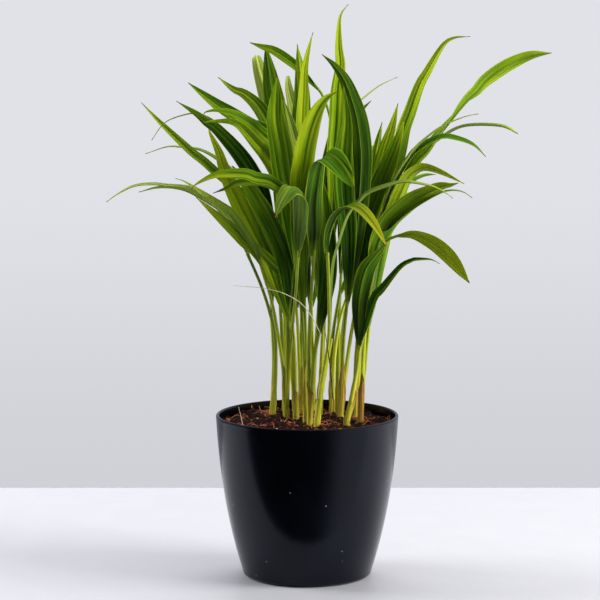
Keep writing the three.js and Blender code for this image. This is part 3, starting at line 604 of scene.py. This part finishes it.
def smooth_path(points, step):
    """Stations about a step apart on the smooth curve through some points, and how far
    along it each lies. It is the curve of the part's source."""
    given = np.asarray(points, float)
    held = np.vstack([2 * given[0] - given[1], given, 2 * given[-1] - given[-2]])
    t = np.linspace(0, 1, 24, endpoint=False)[:, None]
    spans = []
    for before, start, end, after in zip(held, held[1:], held[2:], held[3:]):
        leaving, coming = (end - before) / 2, (after - start) / 2
        square = 3 * (end - start) - 2 * leaving - coming
        cube = 2 * (start - end) + leaving + coming
        spans.append(start + leaving * t + square * t**2 + cube * t**3)
    dense = np.vstack([*spans, given[-1:]])
    far = np.concatenate([[0], np.cumsum(np.linalg.norm(np.diff(dense, axis=0), axis=1))])
    count = max(round(far[-1] / step), 4)
    wanted = np.linspace(0, far[-1], count + 1)
    return np.column_stack([np.interp(wanted, far, axis) for axis in dense.T]), wanted


def unit(vectors):
    return vectors / np.linalg.norm(vectors, axis=-1, keepdims=True)


def carried(directions, first):
    """Side directions carried along a path without turning about it, from a first one."""
    side, sides = np.asarray(first, float), []
    for direction in directions:
        side = unit(side - side.dot(direction) * direction)
        sides.append(side)
    return np.array(sides)


class Shape:
    """The points, faces and layers of values of one piece, gathered body by body."""

    def __init__(self):
        self.points, self.faces, self.layers = [], [], {}

    def add(self, points, faces, **layers):
        start = sum(map(len, self.points))
        self.points.append(np.asarray(points, float).reshape(-1, 3))
        self.faces += [[start + k for k in face] for face in faces]
        for name, values in layers.items():
            values = np.broadcast_to(values, (*np.shape(points)[:-1], 3)).reshape(-1, 3)
            self.layers.setdefault(name, []).append(values)

    def skin(self, rings, **layers):
        """A closed body over rings of equally many points, which run counter-clockwise
        round the path that the rings follow."""
        rows, count = len(rings), len(rings[0])
        faces = [
            [low + k, low + (k + 1) % count, low + count + (k + 1) % count, low + count + k]
            for low in range(0, (rows - 1) * count, count)
            for k in range(count)
        ]
        top = (rows - 1) * count
        faces += [list(range(count))[::-1], list(range(top, top + count))]
        self.add(np.asarray(rings), faces, **layers)

    def piece(self, name, look, slot, *nodes, sharp=40):
        """The shape as an object of the scene, riding on the part, in place of nodes."""
        mesh = bpy.data.meshes.new(name)
        mesh.from_pydata((np.vstack(self.points) * MM).tolist(), [], self.faces)
        for key, values in self.layers.items():
            layer = mesh.attributes.new(key, "FLOAT_VECTOR", "POINT")
            layer.data.foreach_set("vector", np.vstack(values).astype(np.float32).ravel())
        mesh.shade_smooth()
        mesh.set_sharp_from_angle(angle=radians(sharp))
        mesh.materials.append(look)
        made = bpy.data.objects.new(name, mesh)
        bpy.context.scene.collection.objects.link(made)
        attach(made, "root")
        if nodes:
            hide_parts(*nodes)


def smooth_step(value, start, end):
    t = np.clip((value - start) / (end - start), 0, 1)
    return t * t * (3 - 2 * t)


# ---------------------------------------------------------------- pot


def side_radius(z):
    """Outer radius of the pot's side at a height: one quadratic curve, rim to foot."""
    a = POT_HEIGHT - 2 * BULGE_HEIGHT
    b = 2 * (BULGE_HEIGHT - POT_HEIGHT)
    t = (-b - sqrt(b * b - 4 * a * (POT_HEIGHT - z))) / (2 * a)
    return RIM_RADIUS * (1 - t) ** 2 + 2 * BULGE_RADIUS * t * (1 - t) + FOOT_RADIUS * t**2


def arc(centre, radius, start, end, steps):
    angles = np.radians(np.linspace(start, end, steps + 1))
    return [(centre[0] + radius * cos(a), centre[1] + radius * sin(a)) for a in angles]


def pot_profile():
    lip = WALL / 2
    heights = np.linspace(FOOT_ROUND + SIDE_MARGIN, POT_HEIGHT - lip - SIDE_MARGIN, SIDE_STEPS)
    outer = [(side_radius(z), z) for z in heights]
    inner = [(r - WALL, z) for r, z in outer[:2:-1]]
    foot = arc((side_radius(FOOT_ROUND) - FOOT_ROUND, FOOT_ROUND), FOOT_ROUND, -90, -6, FOOT_STEPS)
    rim = arc((side_radius(POT_HEIGHT) - lip, POT_HEIGHT - lip), lip, 0, 180, RIM_STEPS)
    groove = [
        (GROOVE_INNER, 0), (GROOVE_INNER + GROOVE_DEPTH, GROOVE_DEPTH),
        (GROOVE_OUTER - GROOVE_DEPTH, GROOVE_DEPTH), (GROOVE_OUTER, 0),
    ]
    bed = [(side_radius(FLOOR + FOOT_ROUND) - WALL, FLOOR), (FLOOR_CAP, FLOOR)]
    return [(BASE_CAP, 0), *groove, *foot, *outer, *rim, *inner, *bed]


def build_pot():
    shape = Shape()
    turns = np.linspace(0, 2 * pi, POT_SEGMENTS, endpoint=False)
    rings = [[(r * cos(a), r * sin(a), z) for a in turns] for r, z in pot_profile()]
    shape.skin(rings)
    shape.piece("pot_shell", pot_material(), "pot", "pot", sharp=50)


# ---------------------------------------------------------------- soil


def soil_height(x, y):
    """The soil's top as in the part, with crumbs, and heaped towards the back left."""
    fall = (x * x + y * y) / RIM_RADIUS**2
    ripples = sin(x * 0.21 + y * 0.13) + 0.8 * sin(x * 0.11 - y * 0.27 + 1.3)
    away = (x - HEAP_AT[0]) ** 2 + (y - HEAP_AT[1]) ** 2
    heap = HEAP_HEIGHT * exp(-away / HEAP_SPREAD)
    spot = Vector((x, y, 0))
    crumbs = SOIL_CRUMBS * noise.fractal(spot * 0.19, 0.9, 2.1, 4)
    crumbs += SOIL_GRAINS * noise.noise(spot * 1.1)
    return SOIL_LEVEL + SOIL_CROWN * (1 - fall) + SOIL_RIPPLES * ripples + heap + crumbs


def build_soil():
    shape = Shape()
    turns = np.linspace(0, 2 * pi, SOIL_SEGMENTS, endpoint=False)
    edge = side_radius(SOIL_LEVEL) - WALL - SOIL_GAP / 2

    def ring(radius, height):
        places = [(radius * cos(a), radius * sin(a)) for a in turns]
        return [(x, y, height(x, y)) for x, y in places]

    def level(z, inset=0):
        inside = side_radius(max(z, FOOT_ROUND)) - WALL - SOIL_GAP - inset
        return ring(inside, lambda x, y: z)

    side = [level(FLOOR + SOIL_GAP, inset=4), *map(level, (12, 40, 70, 100, SOIL_LEVEL - 5))]
    top = [ring(edge * share, soil_height) for share in np.linspace(1, 0.012, SOIL_RINGS)]
    shape.skin([*side, *top])
    shape.piece("soil_bed", soil_material(), "soil", "soil", sharp=70)


def tube(shape, points, radii, sides, step, **layers):
    """A closed tube along the smooth curve through some points."""
    stations, far = smooth_path(points, step)
    directions = unit(np.gradient(stations, axis=0))
    first = (1, 0, 0) if abs(directions[0][0]) < 0.8 else (0, 1, 0)
    sides_at = carried(directions, first)
    across = np.cross(directions, sides_at)
    width = np.interp(far / far[-1], np.linspace(0, 1, len(radii)), radii)
    turns = np.linspace(0, 2 * pi, sides, endpoint=False)
    rings = [
        c + r * (np.outer(np.cos(turns), s) + np.outer(np.sin(turns), a))
        for c, r, s, a in zip(stations, width, sides_at, across)
    ]
    shape.skin(rings, **layers)


def soil_spot(draw, reach):
    angle, radius = draw.uniform(0, 2 * pi), reach * sqrt(draw.random())
    return radius * cos(angle), radius * sin(angle)


def build_fibres():
    """Coir fibres: short curling strands that lie on the soil or spring from it."""
    draw, shape = random.Random(FIBRE_SEED), Shape()
    for _ in range(FIBRES):
        x, y = soil_spot(draw, SOIL_SCATTER)
        heading = draw.uniform(0, 2 * pi)
        length = draw.uniform(3, 7) + 14 * draw.random() ** 3
        lift = draw.uniform(0.2, 1.6) + (3 if draw.random() < 0.06 else 0)
        turn = draw.uniform(-1.1, 1.1)
        points = []
        for share in (0, 0.33, 0.66, 1):
            bend = heading + turn * share
            px, py = x + length * share * cos(bend), y + length * share * sin(bend)
            inside = min(1, (SOIL_SCATTER + 2) / max(hypot(px, py), 1))
            px, py = px * inside, py * inside
            rise = lift * sin(pi * min(share * draw.uniform(0.75, 1.1), 1)) - 0.2
            points.append((px, py, soil_height(px, py) + rise))
        thick = draw.uniform(0.07, 0.19)
        tone = draw.uniform(0.7, 1.2) if draw.random() < 0.24 else draw.uniform(-0.4, 0.1)
        tube(shape, points, (thick, thick, thick * 0.6), 5, length / 6, tone=(tone, 0, 0))
    look = grain_material("coir_fibre", 0x200806, 0xE88A58, 900, 0.75, 0.0001)
    shape.piece("soil_fibres", look, "soil")


def clod(shape, centre, size, draw, squash, rows=5, sides=8):
    """A lump with an uneven skin, part sunk where it lies."""
    shift = Vector((draw.uniform(0, 90), draw.uniform(0, 90), draw.uniform(0, 90)))
    spin = draw.uniform(0, pi)
    rings = []
    for i in range(rows):
        tilt = pi * (i + 0.5) / rows - pi / 2
        ring = []
        for k in range(sides):
            a = 2 * pi * k / sides
            d = Vector((cos(tilt) * cos(a), cos(tilt) * sin(a), sin(tilt)))
            r = size * (1 + 0.45 * noise.noise(d * 1.3 + shift))
            x, y, z = d.x * r, d.y * r * squash[0], d.z * r * squash[1]
            ring.append((
                centre[0] + x * cos(spin) - y * sin(spin),
                centre[1] + x * sin(spin) + y * cos(spin),
                centre[2] + z,
            ))
        rings.append(ring)
    shape.skin(rings, tone=(draw.random(), 0, 0))


def build_chips():
    """Small dark lumps of coir and peat strewn over the soil."""
    draw, shape = random.Random(CHIP_SEED), Shape()
    for _ in range(CHIPS):
        x, y = soil_spot(draw, SOIL_SCATTER)
        size = draw.uniform(0.5, 1.3) + 0.9 * draw.random() ** 4
        squash = draw.uniform(0.5, 1), draw.uniform(0.35, 0.8)
        clod(shape, (x, y, soil_height(x, y) + 0.2 * size), size, draw, squash)
    look = grain_material("coir_chip", 0x100503, 0x4A2114, 1200, 0.9, 0.0003)
    shape.piece("soil_chips", look, "soil", sharp=30)


def build_perlite():
    """The few pale specks in the soil."""
    draw, shape = random.Random(SPECK_SEED), Shape()
    for _ in range(SPECKS):
        x, y = soil_spot(draw, SOIL_SCATTER - 1)
        size = draw.uniform(0.25, 0.7)
        clod(shape, (x, y, soil_height(x, y) + 0.5 * size), size, draw, (0.9, 0.8), 4, 7)
    look = grain_material("perlite", 0xA89E94, 0xF4F0EA, 2500, 0.85, 0.0001)
    shape.piece("soil_perlite", look, "soil", sharp=30)


# ---------------------------------------------------------------- seedlings


def stem_radius(z):
    share = np.clip((z - SOIL_LEVEL) / STEM_TAPER, 0, 1)
    slim = 1 + (STEM_SLIM - 1) * np.sqrt(share)
    tip = np.clip((z - SOIL_LEVEL - STEM_TAPER) / 120, 0, 1)
    return STEM_FOOT * slim * (1 - tip) + STEM_TIP * tip


def stalk_path(foot, petiole):
    """Stations of a stalk from its root in the soil to the point where its leaves part."""
    x, y = foot
    stations, _ = smooth_path([[x, y, SOIL_LEVEL + 5], *petiole], STEM_STEP)
    root = [[x, y, SOIL_LEVEL - STEM_ROOTED], [x, y, SOIL_LEVEL - 4], [x, y, SOIL_LEVEL + 1]]
    return np.vstack([root, stations])


def stalk(shape, foot, petiole, tint, seed, draw):
    """A stalk with a shallow channel along one side, turned at random, and faint rings at its foot."""
    stations = stalk_path(foot, petiole)
    directions = unit(np.gradient(stations, axis=0))
    directions[:3] = (0, 0, 1)
    sides = carried(directions, (1, 0, 0))
    across = np.cross(directions, sides)
    turns = np.linspace(0, 2 * pi, STEM_SIDES, endpoint=False)
    channel = draw.uniform(0, 2 * pi)
    away = (turns - channel + pi) % (2 * pi) - pi
    heights = stations[:, 2] - SOIL_LEVEL
    scars = [draw.uniform(6, 16), draw.uniform(20, 46)]
    rings, stem = [], []
    for centre, side, other, height in zip(stations, sides, across, heights):
        radius = stem_radius(centre[2]) * 0.97
        bulge = sum(exp(-(((height - scar) / SCAR_WIDTH) ** 2)) for scar in scars)
        radius *= 1 + SCAR_RISE * bulge
        hollow = np.exp(-((away / CHANNEL_WIDTH) ** 2))
        dent = 1 - CHANNEL_DEPTH * hollow * smooth_step(height, 30, 80)
        spokes = radius * dent * (1 + 0.015 * np.cos(5 * turns + seed))
        rings.append(
            centre + np.outer(spokes * np.cos(turns), side) + np.outer(spokes * np.sin(turns), other))
        stem.append([(cos(a), sin(a), height) for a in turns])
    shape.skin(rings, stem=stem, tone=(tint, 0, seed))


def sheath(shape, stations, tip, faces, spread, dry, seed, draw):
    """A dried leaf base that clasps a stalk and ends in a ragged point."""
    angles = np.radians(np.linspace(-spread / 2, spread / 2, SHEATH_COLUMNS))
    ragged = np.array([draw.uniform(-0.09, 0.09) for _ in angles])
    reach = tip * (1 - 0.62 * np.abs(np.linspace(-1, 1, SHEATH_COLUMNS)) ** 1.3 + ragged)
    low, high = SOIL_LEVEL - SHEATH_SUNK, SOIL_LEVEL + np.clip(reach, 3, None)
    rings, stem = [], []
    up = np.linspace(0, 1, SHEATH_ROWS)
    for share in up:
        z = low + (high - low) * share
        centre = np.column_stack([np.interp(z, stations[:, 2], stations[:, k]) for k in (0, 1)])
        flare = 1 + SHEATH_FLARE * share**3
        out = (stem_radius(z) + 0.15) * flare
        turn = radians(faces) + angles
        spoke = np.column_stack([np.cos(turn), np.sin(turn), np.zeros(SHEATH_COLUMNS)])
        middle = np.column_stack([centre, z])
        thick = SHEATH_THICKNESS * (1.15 - share)
        outer = middle + spoke * (out + thick)[:, None]
        inner = middle + spoke * out[:, None]
        rings.append(np.vstack([outer, inner[::-1]]))
        values = np.column_stack([np.cos(turn), np.sin(turn), z - SOIL_LEVEL])
        stem.append(np.vstack([values, values[::-1]]))
    drier = np.clip(dry * (0.7 + 0.6 * up), 0, 1)
    tone = np.zeros((SHEATH_ROWS, 2 * SHEATH_COLUMNS, 3))
    tone[..., 0], tone[..., 1], tone[..., 2] = 0.9, drier[:, None], seed
    shape.skin(rings, stem=stem, tone=tone)


def half_width(one, share):
    """Half width of a leaf along its length: narrow root, full middle, drawn-out tip."""
    full, widest = one["width"] / 2, one["widest"]
    rise = np.sin(np.clip(share / widest, 0, 1) * pi / 2)
    rising = full * (LEAF_BASE + (1 - LEAF_BASE) * rise)
    past = np.clip((share - widest) / (1 - widest), 0, 1)
    falling = full * (1 - past ** one["taper"])
    return np.maximum(np.where(share < widest, rising, falling), LEAF_TIP)


ACROSS = np.array([-1, -0.95, -0.84, -0.7, -0.56, -0.42, -0.28, -0.15, -0.06, 0,
                   0.06, 0.15, 0.28, 0.42, 0.56, 0.7, 0.84, 0.95, 1])


def blade(shape, petiole, one, seed, draw):
    """A strap leaf: a thin closed body folded along its midrib, with shallow pleats
    between its veins, a keel below and gently waved edges."""
    end, before = np.array(petiole[-1], float), np.array(petiole[-2], float)
    root = end + unit(before - end) * LEAF_SUNK
    stations, far = smooth_path([root, *one["path"]], LEAF_STEP)
    share = far / far[-1]
    directions = unit(np.gradient(stations, axis=0))
    azimuth = radians(one["faces"])
    normals = carried(directions, (cos(azimuth), sin(azimuth), 0))
    turn = np.radians(one["twist"] * share)[:, None]
    normals = normals * np.cos(turn) + np.cross(directions, normals) * np.sin(turn)
    across = np.cross(normals, directions)

    u, side = ACROSS, np.abs(ACROSS)
    half = half_width(one, share)[:, None]
    arch = 1.2 * side - 0.2 * side**2
    pleats = draw.uniform(0.03, 0.06) * (1 - np.cos(2 * pi * LEAF_PLEATS * side))
    pleats = pleats * (1 - side**4)
    waves = 0
    for near in (u > 0, u > 0, u < 0, u < 0):
        wave = draw.uniform(0.02, 0.05) * np.sin(far / draw.uniform(9, 22) + draw.uniform(0, 6))
        waves = waves + wave[:, None] * np.where(near, u, 0) ** 2
    clasp = 1 + 1.6 * (1 - smooth_step(share, 0.02, 0.2))[:, None]
    rise = half * (LEAF_FOLD * clasp * arch + pleats + waves)
    thick = LEAF_EDGE + (LEAF_THICKNESS - LEAF_EDGE) * (1 - side**2)
    keel = KEEL_DEPTH * np.exp(-((u / KEEL_WIDTH) ** 2)) * np.clip(half / 4, 0, 1)

    def face(offset):
        height = (rise + offset)[..., None]
        return stations[:, None] + across[:, None] * (half * u)[..., None] + normals[:, None] * height

    rings = np.concatenate([face(-thick / 2 - keel), face(thick / 2)[:, ::-1]], axis=1)
    rows, count = len(far), len(u)
    u_round = np.concatenate([u, u[::-1]])
    under = np.concatenate([np.ones(count), np.zeros(count)])
    grown = smooth_step(share, 0.35, 1.0) * one["yellow"]
    dry = np.clip(1 - (far[-1] - far) / one["dry"], 0, 1)

    def layer(a, b, c):
        return np.stack(np.broadcast_arrays(a, b, c), axis=-1) * np.ones((rows, 2 * count, 1))

    shape.skin(
        rings,
        blade=layer(u_round[None], far[:, None], seed),
        tone=layer(share[:, None], one["tint"], grown[:, None]),
        wear=layer(dry[:, None], under[None], one["pale"]),
        strap=layer(half * u_round, 0.0, 0.0),
    )


def build_seedlings():
    """Every seedling's stalks with their dry sheaths, and its leaves."""
    stalk_look, leaf_look = stalk_material(), leaf_material()
    for number, one in enumerate(SEEDLINGS, 1):
        draw = random.Random(PALM_SEED + number)
        node = f"palm_{number:02d}"
        stalks, leaves = Shape(), Shape()
        for order, shoot in enumerate(one["fronds"]):
            stalk(stalks, one["foot"], shoot["petiole"], draw.uniform(0.35, 1), draw.random(), draw)
            for single in shoot["leaves"]:
                blade(leaves, shoot["petiole"], single, draw.random(), draw)
            for numbered, of_stalk, tip, faces, spread, dry in SHEATHS:
                if (numbered, of_stalk) == (number, order):
                    path = stalk_path(one["foot"], shoot["petiole"])
                    sheath(stalks, path, tip, faces, spread, dry, draw.random(), draw)
        stalks.piece(f"{node}_stalks", stalk_look, "palm", node, sharp=60)
        leaves.piece(f"{node}_leaves", leaf_look, "palm", node, sharp=60)


def build_threads():
    """The loose dried threads."""
    look = grain_material("dried_thread", 0x3A2416, 0xD8CCB0, 700, 0.6, 0.0001)
    for name, (points, radius, tone) in THREADS.items():
        shape = Shape()
        tube(shape, points, (radius, radius, radius * 0.4), 7, 2, tone=(tone, 0, 0))
        shape.piece(name, look, "palm")


# ---------------------------------------------------------------- studio


def build_floor():
    """A table top with rounded edges, whose far one shows a little behind the pot."""
    rounding = np.radians(np.linspace(0, 90, 7))
    turned = [(FLOOR_ROUND * (1 - cos(a)), FLOOR_ROUND * (sin(a) - 1)) for a in rounding]
    back = [(FLOOR_BACK - y, z) for y, z in turned]
    front = [(FLOOR_FRONT + y, z) for y, z in turned]
    outline = [(FLOOR_FRONT, -FLOOR_THICKNESS), (FLOOR_BACK, -FLOOR_THICKNESS), *back, *front[::-1]]
    mesh = bpy.data.meshes.new("studio_floor")
    ends = (-FLOOR_HALF_WIDTH, FLOOR_HALF_WIDTH)
    points = [(x * MM, y * MM, z * MM) for x in ends for y, z in outline]
    count = len(outline)
    faces = [[k, count + k, count + (k + 1) % count, (k + 1) % count] for k in range(count)]
    faces += [list(range(count)), list(range(count, 2 * count))[::-1]]
    mesh.from_pydata(points, [], faces)
    mesh.materials.append(floor_material())
    floor = bpy.data.objects.new("studio_floor", mesh)
    bpy.context.scene.collection.objects.link(floor)


def build_world():
    """The studio around: pale all round. Mirrored in the pot it is dark behind the
    camera's left, and for the camera it is a plain pale wall that darkens a little
    towards the table."""
    world = bpy.data.worlds.new("studio")
    bpy.context.scene.world = world
    world.use_nodes = True
    s = Shader(world.node_tree)
    direction = s.add("TexCoord").outputs["Generated"]
    x, y, z = s.parts(direction)
    wall = s.mix(s.ramp(z, -0.2, -0.08), 0xD0D0D7, 0xE1E2E7)
    room = s.mix(s.ramp(x, -0.6, 0.6), 0x9FA1AC, 0xCFD1DA)
    right = s.math("MULTIPLY_ADD", x, 0.985, s.times(y, -0.17))
    room = s.mix(s.ramp(right, 0.35, 0.9), room, 0xF6F6FA)
    facing = s.math("MULTIPLY_ADD", x, -0.42, s.times(y, -0.906))
    rays = s.add("LightPath").outputs
    seen, mirrored = rays["Is Camera Ray"], rays["Is Glossy Ray"]
    dark = s.times(mirrored, s.ramp(facing, 0.2, 0.7))
    room = s.mix(dark, room, 0x0A0B0D)
    shown = s.add("Background", {"Color": wall, "Strength": 1.0}).outputs[0]
    strength = s.math("MULTIPLY_ADD", mirrored, 0.2, 0.66)
    lit = s.add("Background", {"Color": room, "Strength": strength}).outputs[0]
    mixed = s.add("MixShader", {0: seen, 1: lit, 2: shown}).outputs[0]
    s.add("OutputWorld", {"Surface": mixed})


def build_lights():
    for name, (place, size, watts, colour) in LAMPS.items():
        data = bpy.data.lights.new(name, "AREA")
        data.shape = "RECTANGLE"
        data.size, data.size_y = (side * MM for side in size)
        data.energy, data.color = watts, colour
        lamp = bpy.data.objects.new(name, data)
        lamp.location = Vector(place) * MM
        aim = Vector(LAMPS_AIM) * MM - lamp.location
        lamp.rotation_euler = aim.to_track_quat("-Z", "Y").to_euler()
        lamp.visible_glossy = False
        bpy.context.scene.collection.objects.link(lamp)


def build_camera():
    data = bpy.data.cameras.new("camera")
    data.sensor_width = SENSOR
    data.lens = SENSOR * FOCAL_PIXELS / IMAGE_SIZE
    data.clip_end = 50
    camera = bpy.data.objects.new("camera", data)
    camera.location = Vector(CAMERA_AT) * MM
    camera.rotation_euler = (radians(90 - CAMERA_PITCH), 0, 0)
    bpy.context.scene.collection.objects.link(camera)
    bpy.context.scene.camera = camera


build_pot()
build_soil()
build_fibres()
build_chips()
build_perlite()
build_seedlings()
build_threads()
build_floor()
build_world()
build_lights()
build_camera()
bpy.context.scene.view_settings.view_transform = "Standard"
